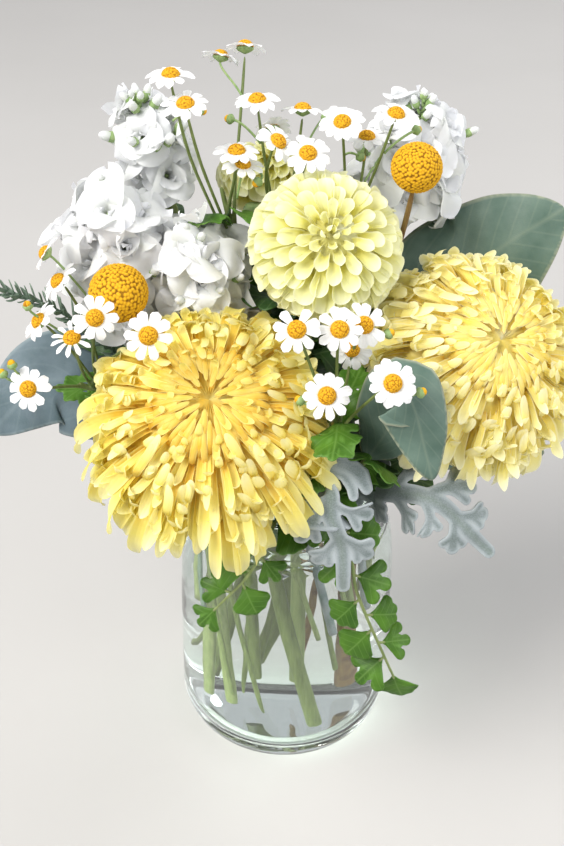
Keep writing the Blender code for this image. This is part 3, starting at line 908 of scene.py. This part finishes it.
def felt_material(name):
    """Silver leaf under a fine white felt that thins over its midrib."""
    tree = Tree(name)
    across, _, inside = tree.tint()
    off = tree.math("ABSOLUTE", tree.math("SUBTRACT", across, 0.5))
    body = tree.fade(tree.noise(150, 4), (0.35, 0.0), (0.7, 1.0), (0.15, 0.19, 0.18), (0.26, 0.30, 0.305))
    body = tree.fade(off, (0.0, 0.6), (0.05, 0.0), body, (0.17, 0.22, 0.18))
    body = tree.fade(inside, (0.0, 0.95), (0.7, 0.0), body, (0.44, 0.485, 0.50))
    fibre = tree.noise(2400, 4)
    body = tree.fade(fibre, (0.4, 0.0), (0.7, 0.28), body, (0.48, 0.52, 0.53))
    tree.set(sheen_weight=0.2, sheen_roughness=0.5)
    return tree.finish(body, fibre, (0.7, 0.25), fibre, (0.8, 0.95), 0.15, 0.10)


def clear_material(name, colour, ior, wave_scale, wave_depth):
    """Clear glass or water that still lets lamp light through to what is inside it."""
    tree = Tree(name)
    tree.bump(tree.noise(wave_scale, 1), 0.3, wave_depth)
    tree.set(base_color=colour, roughness=0.0, ior=ior, transmission_weight=1.0)
    open_way = tree.add("ShaderNodeBsdfTransparent", color=(0.93, 0.96, 0.95, 1))
    rays = tree.add("ShaderNodeLightPath")
    both = tree.add("ShaderNodeMixShader", [("Fac", rays.outputs["Is Shadow Ray"])])
    tree.join(both, open_way)
    return tree.material


def petal_materials():
    return {
        "mum": petal_material(
            "mum_petal",
            [
                (0.0, (0.74, 0.28, 0.01)),
                (0.4, (0.89, 0.60, 0.05)),
                (0.7, (0.93, 0.82, 0.20)),
                # the palest tip colour is partly the petals' own paler tips and partly a painted highlight
                (1.0, (0.98, 0.96, 0.64)),
            ],
            (0.95, 0.88, 0.32),
            edge=(0.97, 0.90, 0.38),
        ),
        "mum_pale": petal_material(
            "mum_petal_pale",
            [
                (0.0, (0.84, 0.44, 0.03)),
                (0.4, (0.94, 0.76, 0.13)),
                (0.75, (0.97, 0.89, 0.33)),
                # the palest tip colour is partly the petals' own paler tips and partly a painted highlight
                (1.0, (0.98, 0.96, 0.72)),
            ],
            (0.98, 0.93, 0.52),
            edge=(0.98, 0.95, 0.70),
        ),
        "dahlia": petal_material(
            "dahlia_petal",
            [
                (0.0, (0.50, 0.42, 0.03)),
                (0.45, (0.76, 0.70, 0.13)),
                (0.75, (0.92, 0.91, 0.45)),
                (1.0, (0.97, 0.97, 0.74)),
            ],
            (0.94, 0.95, 0.64),
            edge=(0.95, 0.95, 0.74),
        ),
        "stock": petal_material(
            "stock_petal",
            [(0.0, (0.50, 0.62, 0.28)), (0.18, (0.84, 0.86, 0.78)), (1.0, (0.90, 0.90, 0.92))],
            (0.86, 0.87, 0.91),
            thin=0.45,
            streaks=3.0,
        ),
        "daisy": petal_material(
            "daisy_ray",
            [(0.0, (0.82, 0.82, 0.66)), (0.25, (0.90, 0.90, 0.90)), (1.0, (0.93, 0.93, 0.94))],
            (0.88, 0.88, 0.91),
            thin=0.30,
            streaks=3.0,
        ),
        # the last colour of each floret material is painted shade for the gaps between florets
        "disc": floret_material("daisy_disc", (0.74, 0.42, 0.02), (0.58, 0.28, 0.01), (0.30, 0.12, 0.005)),
        "craspedia": floret_material(
            "craspedia_floret", (0.72, 0.42, 0.015), (0.56, 0.28, 0.01), (0.17, 0.075, 0.004)
        ),
    }


def stem_materials():
    return {
        "stem": stem_material("green_stem", (0.10, 0.14, 0.035), (0.22, 0.28, 0.09)),
        "pale_stem": stem_material("pale_stem", (0.18, 0.25, 0.07), (0.33, 0.38, 0.16)),
        "brown_stem": stem_material("brown_stem", (0.17, 0.09, 0.03), (0.28, 0.20, 0.07), (0.10, 0.04, 0.02)),
        "calyx": stem_material("green_calyx", (0.18, 0.32, 0.10), (0.40, 0.50, 0.22), rough=0.5),
        "grey_green": stem_material("grey_green_needle", (0.13, 0.20, 0.14), (0.24, 0.32, 0.24), rough=0.6),
    }


def leaf_materials():
    """Each leaf's colours are its dark and light blotches, its veins and its rim."""
    eucalyptus = ((0.085, 0.145, 0.112), (0.145, 0.215, 0.170), (0.21, 0.27, 0.20), (0.40, 0.42, 0.30))
    blue = ((0.095, 0.145, 0.165), (0.17, 0.225, 0.26), (0.20, 0.26, 0.28), (0.30, 0.36, 0.37))
    fern = ((0.045, 0.13, 0.012), (0.11, 0.26, 0.025), (0.18, 0.34, 0.07), (0.14, 0.30, 0.05))
    green = ((0.025, 0.065, 0.015), (0.06, 0.14, 0.035), (0.14, 0.22, 0.09), (0.07, 0.15, 0.04))
    return {
        "eucalyptus": leaf_material("eucalyptus_leaf", eucalyptus, 0.50, 9.0, 0.18, 0.22),
        "blue_leaf": leaf_material("eucalyptus_blue_leaf", blue, 0.55, 9.0, 0.18, 0.2),
        "fern": leaf_material("fern_leaf", fern, 0.40, 5.0, 0.3, 0.3),
        "green_leaf": leaf_material("green_leaf", green, 0.42, 7.0, 0.25, 0.3),
        "felt": felt_material("felt_leaf"),
    }


def clear_materials():
    return {
        "glass": clear_material("clear_glass", (0.955, 0.985, 0.975), 1.5, 60, 0.5),
        "water": clear_material("clear_water", (0.985, 0.995, 0.99), 1.333, 40, 0.1),
    }


# ---------------------------------------------------------------- the jar


def arc(centre, radius, first, last, steps):
    """Points of an arc between two angles in degrees."""
    angles = np.radians(np.linspace(first, last, steps + 1))
    return [(centre[0] + radius * math.cos(a), centre[1] + radius * math.sin(a)) for a in angles]


def lathe(form, profile, swell=None):
    """Spin a profile of (radius, height) about Z; swell(angle, height) is added to the radius."""
    wide, high = np.split(np.array(profile, float), 2, axis=1)
    angle = turns(128)
    if swell is not None:
        wide = wide + swell(angle, high)
    form.grid(turned(wide, high, angle), ring=True)


# the jar, in millimetres; its heel is a share of its radius, and the water stands below its mouth
JAR_WALL = 2.6
JAR_FLOOR = 7.0
HEEL_SHARE = 1 / 3
NECK_INSET = 5.5
WATER_DROP = 20.0
THREAD_PITCH = 4.5
AXIS_GAP = 0.02


def jar_side(radius, height, inset):
    """The jar's side from the mouth down to its floor, drawn inset from the outer face."""
    neck = radius - NECK_INSET - inset
    body = radius - inset
    foot = JAR_FLOOR if inset else 0
    heel = radius * HEEL_SHARE - inset * 0.6
    levels = np.linspace(height - 1.5, height - 66, 44)
    marks = [height - 66, height - 42, height - 29, height - 19, height - 14, height]
    radii = np.interp(levels, marks, [body, body - 0.8, body - 2.2, neck + 0.6, neck, neck])
    radii = np.convolve(np.pad(radii, 3, mode="edge"), np.ones(7) / 7, "valid")
    side = list(zip(radii, levels))
    return side + [(body, foot + heel + 8)] + arc((body - heel, foot + heel), heel, 0, -90, 16)


def build_glass(materials, radius, height, inner):
    """One closed profile: the dished floor, the inner side, the bead, the outer side and the base."""
    neck = radius - NECK_INSET
    dish = [(AXIS_GAP, JAR_FLOOR + 1.2), (10, JAR_FLOOR + 1.0), (20, JAR_FLOOR + 0.4)]
    bead = arc((neck - JAR_WALL / 2, height - 1.5), JAR_WALL / 2 + 0.2, 150, 30, 8)
    push = arc((radius * (1 - HEEL_SHARE) - 3, 1.6), 1.6, -90, -160, 4)
    base = [(x - 1.0, y) for x, y in push] + [(18, 1.2), (9, 1.4), (AXIS_GAP, 1.5)]
    inside = len(dish) + len(inner)

    def thread(angle, level):
        """A low screw thread, on the outer side of the neck only."""
        top = height - 5.5 - THREAD_PITCH * angle / (2 * math.pi)
        ridge = np.exp(-((level - top) ** 2)) + np.exp(-((level - top + THREAD_PITCH) ** 2))
        out = 0.8 * ridge * (level > height - 14)
        out[-inside:] = 0
        return out

    form = Form()
    profile = dish + inner[::-1] + bead + jar_side(radius, height, 0) + base
    lathe(form, profile[::-1], thread)
    form.piece("jar_glass", [materials["glass"]], "clear_glass", ["jar"])


def build_water(materials, height, inner):
    """Water that wets the glass and climbs a little at its edge."""
    level = height - WATER_DROP
    wall = [(x + 0.12, y - 0.12) for x, y in inner if y < level - 1]
    edge = wall[0][0]
    skin = [(AXIS_GAP, level), (edge - 4, level), (edge - 1.2, level + 0.3), (edge, level + 1.0)]
    floor = [(20, JAR_FLOOR + 0.3), (10, JAR_FLOOR + 0.9), (AXIS_GAP, JAR_FLOOR + 1.1)]
    form = Form()
    lathe(form, (skin + wall + floor)[::-1])
    form.piece("jar_water", [materials["water"]], "clear_water", ["water"])


def build_jar(materials):
    low, high = (np.array(corner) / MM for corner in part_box("jar"))
    radius = (high[0] - low[0]) / 2
    inner = jar_side(radius, high[2], JAR_WALL)
    build_glass(materials, radius, high[2], inner)
    build_water(materials, high[2], inner)


# ---------------------------------------------------------------- putting the bouquet together


# heights of the solid heads' crowns and calyxes, as shares of their radius
MUM_SHAPE = (0.70, 0.50)
DAHLIA_SHAPE = (0.78, 0.68)
DAISY_SHAPE = (0.28, 0.26)


def set_head(form, centre, axis, spin, sag=0.0):
    """Turn a flower to its axis, move it to its place and let its rim hang a little."""
    placed = Form()
    placed.include(form, turn_to(axis, spin), centre)
    if sag:
        for k, points in enumerate(placed.points):
            along = placed.tints[k][:, 1]
            out = points - centre
            out = np.linalg.norm(out - (out @ axis)[:, None] * axis, axis=1)
            placed.points[k] = points - UP * (sag * along**2 * np.clip(out / 40, 0, 1.2) ** 3)[:, None]
    return placed


def build_mums(materials):
    for name, petals, spin, spread in (("mum_left", "mum", 0.4, 1.0), ("mum_right", "mum_pale", 1.1, 0.93)):
        centre, axis, radius = flat_head(name + "_head", *MUM_SHAPE)
        form = set_head(chrysanthemum(radius, name, spread), centre, axis, spin, 3.0)
        green_cup(form, centre, axis, radius, 0.40, (0.42, 0.14), 30, 14, 0.06)
        kinds = [materials[petals], materials["calyx"]]
        form.piece(name + "_petals", kinds, "mum_petal", [name + "_head"])


def build_dahlias(materials):
    kinds = [materials["dahlia"], materials["calyx"]]
    for name in ("dahlia_front", "dahlia_back"):
        centre, axis, radius = flat_head(name + "_head", *DAHLIA_SHAPE)
        form = set_head(dahlia(radius, name), centre, axis, 0.3)
        green_cup(form, centre, axis, radius, 0.55, (0.35, 0.14), 20, 8, 0.08)
        form.piece(name + "_petals", kinds, "dahlia_petal", [name + "_head"])


def green_cup(form, centre, axis, radius, below, shape, columns, ribs, depth):
    """The calyx under a double flower; its place and shape are shares of the flower's radius."""
    radii = [radius * share for share in shape]
    ball(form, centre - axis * radius * below, axis, radii, 8, columns, 1, 0.5, ribs, depth)


def build_craspedia(materials):
    for name in ("craspedia_left", "craspedia_right"):
        foot, axis, length, radius = tall_head(name + "_head", name + "_stem")
        form = set_head(craspedia(radius, length / 2), foot + axis * length / 2, axis, 0.0)
        form.piece(name + "_globe", [materials["craspedia"]], "craspedia_floret", [name + "_head"])


# spike, number of florets, their radius in millimetres, number of buds at the top and between florets
STOCKS = (
    ("stock_left", 19, 14.0, 8),
    ("stock_centre", 16, 13.0, 7),
    ("stock_tall", 8, 12.0, 9),
    ("stock_right", 17, 13.5, 7),
)


def build_stocks(materials):
    kinds = [materials["stock"], materials["calyx"]]
    for name, florets, size, buds in STOCKS:
        form = stock_spike(name + "_spike", name + "_stem", florets, size, buds, name)
        form.piece(name + "_florets", kinds, "stock_petal", [name + "_spike"])


HALF_OPEN = ("daisy_15",)
# half width of a ray, as a share of the head's radius
OPEN_RAY = 0.21
HALF_OPEN_RAY = 0.11
# a further head beside another: its neighbour, the way to it in millimetres, the way it faces
SIDE_HEADS = (
    ("daisy_03", (-8, -4, -2), (0.2, 0.5, 1.0)),
    ("daisy_06", (2, 1, -5), (0.1, -0.2, 1.0)),
    ("daisy_20", (-3, 5, -12), (0.2, -1.0, 0.5)),
    ("daisy_12", (-4, 3, 9), (-1.0, 0.1, 0.6)),
    ("daisy_10", (9, 12, -6), (0.5, 0.9, 0.7)),
    ("daisy_07", (-10, 12, -12), (-0.3, 1.0, 0.6)),
)
# buds beside a head
BUDS = (
    ("daisy_20", (8, 2, -4)),
    ("daisy_22", (9, 3, -5)),
    ("daisy_17", (-5, 2, 8)),
    ("daisy_17", (-9, 4, 3)),
    ("daisy_13", (-3, -2, 7)),
    ("daisy_01", (9, 3, -12)),
    ("daisy_04", (-9, 4, -8)),
    ("daisy_09", (7, 6, -14)),
    ("daisy_11", (8, 8, -8)),
    ("daisy_07", (8, 10, -6)),
    ("daisy_05", (-6, -2, -13)),
    ("daisy_21", (-8, 4, -5)),
)


def build_daisies(materials):
    kinds = [materials["daisy"], materials["disc"], materials["calyx"]]
    heads = {}
    for node in sorted(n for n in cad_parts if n.startswith("daisy_")):
        centre, axis, radius = flat_head(node, *DAISY_SHAPE)
        heads[node] = centre, axis, radius
        rays = daisy(radius, node, HALF_OPEN_RAY if node in HALF_OPEN else OPEN_RAY)
        form = set_head(rays, centre, axis, dice(node + "spin").uniform(0, 6.28))
        form.piece(node + "_flower", kinds, "daisy_head", [node])
    extra = Form()
    for node, way, faces in SIDE_HEADS:
        centre, axis, radius = heads[node]
        place = centre + np.array(way)
        up = unit(np.array(faces))
        extra.include(set_head(daisy(radius * 0.9, node + "side", OPEN_RAY), place, up, 0.4))
        side_stem(extra, centre - axis * 17, place, up)
    for node, way in BUDS:
        centre, axis, radius = heads[node]
        place = centre + np.array(way)
        up = unit(np.array(way) + UP * 8)
        ball(extra, place, up, (1.7, 1.5), 7, 12, 2, 0.5, 6, 0.08)
        ball(extra, place + up * 0.9, up, (1.35, 1.2), 7, 12, 1, 0.3)
        side_stem(extra, centre - axis * 15, place, up)
    extra.piece("feverfew_side_heads", kinds, "daisy_head")


def side_stem(form, start, place, up):
    """A thin stalk from a branch to a side head or a bud."""
    line = bezier([start, start + (place - start) * 0.3 + UP * 1.5, place - up * 4, place - up * 1.2], 9)
    rod(form, line, 0.42, sides=6, chance=0.4, kind=2)


def blade_route(line, start, end=1.0):
    """The part of a midline between two shares of its length, the part before it, and its length."""
    fine = smooth_line(line, 80)
    first, last = int(80 * start), int(80 * end)
    return fine[first:last], fine[: first + 2], distances(line)[-1] * (end - start)


# leaf, the shares of its midline where its blade starts and ends, its half width and its finish
EUCALYPTUS = (
    ("eucalyptus_right_leaf", 0.60, 1.0, 23, "eucalyptus"),
    ("eucalyptus_low_leaf", 0.44, 1.0, 14, "eucalyptus"),
    ("eucalyptus_centre_leaf", 0.54, 0.98, 12, "eucalyptus"),
    ("eucalyptus_left_leaf", 0.42, 1.0, 22, "blue_leaf"),
)


def build_leaves(materials):
    for node, start, end, half, skin in EUCALYPTUS:
        draw = dice(node)
        blade, stalk, length = blade_route(spine(node), start, end)
        form = Form()
        lay_leaf(form, round_leaf(length, half), blade, half, 0.9, draw, LEAF_FACE, 0.22, 1.2)
        leaf_stalk(form, stalk, 1.1, 0.8)
        form.piece(node.replace("_leaf", "_blade"), [materials[skin], materials["pale_stem"]],
                   "eucalyptus_leaf", [node], 0.5)


def build_felt_leaves(materials):
    for place, half in (("centre", 18), ("right", 17), ("back", 16)):
        node = f"dusty_miller_{place}_leaf"
        draw = dice(node)
        blade, stalk, length = blade_route(spine(node), 0.42)
        form = Form()
        lay_leaf(form, lobed_leaf(length, half, 4, 2.3, 4.3), blade, half, 0.5, draw, LEAF_FACE, 0.3, 1.6)
        leaf_stalk(form, stalk, 1.1, 1.0, 0)
        form.piece(node.replace("_leaf", "_blade"), [materials["felt"]], "felt_leaf", [node], 0.7)


def build_fronds(materials):
    for node, size in (("maidenhair_right_frond", 11.5), ("maidenhair_left_frond", 11.0)):
        draw = dice(node)
        line = smooth_line(spine(node), 60)
        form = Form()
        leaf_stalk(form, line, 0.75, 0.35)
        run = directions(line)
        for i, row in enumerate(np.linspace(27, 59, 11).astype(int)):
            hand = 1 if i % 2 else -1
            side = unit(np.cross(run[row], LEAF_FACE)) * hand
            out = unit(side + run[row] * 0.5) if row < 59 else run[row]
            face = unit(LEAF_FACE + draw.normal(0, 0.30, 3))
            foot = line[row] + out * 2.5
            rod(form, [line[row], (line[row] + foot) / 2, foot], 0.35, sides=6, kind=1)
            fan_leaflet(form, foot, out, face, size * draw.uniform(0.75, 1.1), draw)
        form.piece(node.replace("_frond", "_leaflets"), [materials["fern"], materials["pale_stem"]],
                   "fern_leaf", [node], 0.3)


# stem, lowest and highest place, how many leaves, their length and half width, shape, finish
FOLIAGE = (
    ("mum_left_stem", 125, 140, 6, 38, 14, "broad", "green_leaf"),
    ("mum_right_stem", 125, 152, 7, 38, 14, "broad", "green_leaf"),
    ("dahlia_front_stem", 132, 186, 9, 36, 13, "broad", "green_leaf"),
    ("dahlia_back_stem", 130, 195, 9, 38, 13, "broad", "green_leaf"),
    ("stock_left_stem", 126, 165, 6, 46, 5, "narrow", "green_leaf"),
    ("stock_centre_stem", 126, 165, 7, 42, 5, "narrow", "green_leaf"),
    ("stock_tall_stem", 126, 208, 8, 42, 5, "narrow", "green_leaf"),
    ("stock_right_stem", 126, 190, 8, 46, 5, "narrow", "green_leaf"),
    ("feverfew_front_stem", 128, 172, 8, 27, 10, "cut", "fern"),
    ("feverfew_left_stem", 126, 152, 6, 27, 10, "cut", "fern"),
    ("feverfew_top_stem", 130, 215, 8, 24, 9, "cut", "fern"),
    ("feverfew_middle_stem", 130, 210, 8, 24, 9, "cut", "fern"),
    ("feverfew_right_stem", 130, 208, 8, 24, 9, "cut", "fern"),
)


def foliage_shape(shape, length, half):
    if shape == "broad":
        return lobed_leaf(length, half, 3, half * 0.24, 3.0, 0.85, False)
    if shape == "cut":
        return lobed_leaf(length, half, 3, half * 0.17, 1.3)
    return round_leaf(length, half)


def build_foliage(materials):
    """The green leaves of the flowers' own stems, which fill the gaps under the heads."""
    for node, low, high, count, size, half, shape, finish in FOLIAGE:
        draw = dice(node + "foliage")
        line = smooth_line(spine(node), 120)
        rows = np.flatnonzero((line[:, 2] > low) & (line[:, 2] < high))
        form = Form()
        for i in range(count):
            foot = line[rows[int((i + 0.5) / count * len(rows))]]
            angle = i * GOLDEN_ANGLE + draw.normal(0, 0.3)
            away = foot * np.array([1, 1, 0])
            away = away / (np.linalg.norm(away) + 12)
            out = unit(outward(angle) + away * 0.8 + UP * draw.uniform(0.25, 0.7))
            length = size * draw.uniform(0.8, 1.1)
            tip = foot + out * length - UP * length * draw.uniform(0.10, 0.35)
            tip = np.clip(tip, *TIP_LIMITS)
            route = [foot, (foot + tip) / 2 + UP * 3, tip]
            face = unit(UP + draw.normal(0, 0.25, 3))
            lay_leaf(form, foliage_shape(shape, length, half), route, half, 0.75, draw, face, 0.3, 1.6, 0.12)
        form.piece(node.replace("_stem", "_foliage"), [materials[finish]], "fern_leaf", (), 0.3)


def build_sprig(materials):
    node = "grey_sprig"
    draw = dice(node)
    line = smooth_line(spine(node), 70)
    run = directions(line)
    form = Form()
    leaf_stalk(form, line, 0.8, 0.35, 0)
    needles = 170
    widths = 0.85 * petal_widths(np.linspace(0, 1, 6), 0.6, 0.5)
    for i in range(needles):
        share = i / needles
        row = int(24 + 45 * share)
        out = unit(turn_to(run[row]) @ (outward(i * GOLDEN_ANGLE) + UP * 0.9))
        length = draw.uniform(6, 10) * (1 - 0.4 * share)
        foot = line[row]
        reach = out * length
        needle = bezier([foot, foot + reach * 0.4, foot + reach * 0.7, foot + reach + UP], 6)
        side = unit(np.cross(out, run[row]))
        strap(form, needle, side, widths, 0.6, 3, draw.uniform())
    form.piece("grey_sprig_needles", [materials["grey_green"]], "felt_leaf", [node], 0.25)


# the stems that aren't plain green
STEM_SKINS = {
    "craspedia_right_stem": "brown_stem",
    "mum_right_stem": "brown_stem",
    "stock_left_stem": "pale_stem",
    "stock_tall_stem": "pale_stem",
    "dahlia_front_stem": "pale_stem",
}


def dress_stems(materials):
    """The CAD stems keep their shape and get a skin, rounded by subdivision."""
    for node in sorted(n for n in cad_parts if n.endswith("_stem")):
        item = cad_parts[node]
        item.data.materials.clear()
        item.data.materials.append(materials[STEM_SKINS.get(node, "stem")])
        joined = item.modifiers.new("joined", "WELD")
        joined.merge_threshold = 0.00002
        smooth = item.modifiers.new("round", "SUBSURF")
        smooth.levels = 2
        smooth.render_levels = 2


def build_floor():
    """A plain pale floor in even light from all round."""
    mesh = bpy.data.meshes.new("floor")
    mesh.from_pydata([(-4, -4, 0), (4, -4, 0), (4, 4, 0), (-4, 4, 0)], [], [(0, 1, 2, 3)])
    floor = bpy.data.objects.new("floor", mesh)
    tree = Tree("pale_floor")
    tree.set(base_color=tree.mix(tree.noise(6, 3), (0.43, 0.418, 0.40), (0.47, 0.457, 0.44)), roughness=0.8)
    mesh.materials.append(tree.material)
    bpy.context.scene.collection.objects.link(floor)
    world = bpy.data.worlds.new("studio")
    world.use_nodes = True
    background = world.node_tree.nodes["Background"]
    background.inputs["Color"].default_value = (0.93, 0.95, 1.0, 1)
    background.inputs["Strength"].default_value = 0.60
    bpy.context.scene.world = world


# name, place and size in metres, power in watts and colour
LAMPS = (
    ("key", (-0.9, -0.6, 1.3), 1.0, 38, (1.0, 0.98, 0.95)),
    ("fill", (1.1, -0.7, 0.8), 1.2, 11, (0.97, 0.98, 1.0)),
    ("back", (1.1, 0.9, 1.1), 1.0, 12, (1.0, 1.0, 1.0)),
)


def build_lamps():
    """Three soft lamps that face the middle of the bouquet."""
    target = Vector((0, 0, 0.14))
    for name, place, size, power, colour in LAMPS:
        lamp = bpy.data.lights.new(name, "AREA")
        lamp.size = size
        lamp.energy = power
        lamp.color = colour
        item = bpy.data.objects.new(name, lamp)
        item.location = place
        item.rotation_euler = (target - Vector(place)).to_track_quat("-Z", "Y").to_euler()
        bpy.context.scene.collection.objects.link(item)


def build_camera():
    camera = bpy.data.cameras.new("camera")
    camera.lens = 50
    camera.sensor_width = 36
    item = bpy.data.objects.new("camera", camera)
    tilt = Matrix.Rotation(math.radians(54), 4, "X") @ Matrix.Rotation(math.radians(1.8), 4, "Z")
    item.matrix_world = Matrix.Translation((-0.0036, -0.3442, 0.3928)) @ tilt
    bpy.context.scene.collection.objects.link(item)
    bpy.context.scene.camera = item
    bpy.context.scene.view_settings.view_transform = "Standard"


build_camera()
build_lamps()
build_floor()
materials = petal_materials() | stem_materials() | leaf_materials() | clear_materials()
build_jar(materials)
build_mums(materials)
build_dahlias(materials)
build_craspedia(materials)
build_stocks(materials)
build_daisies(materials)
build_leaves(materials)
build_felt_leaves(materials)
build_fronds(materials)
build_sprig(materials)
build_foliage(materials)
dress_stems(materials)
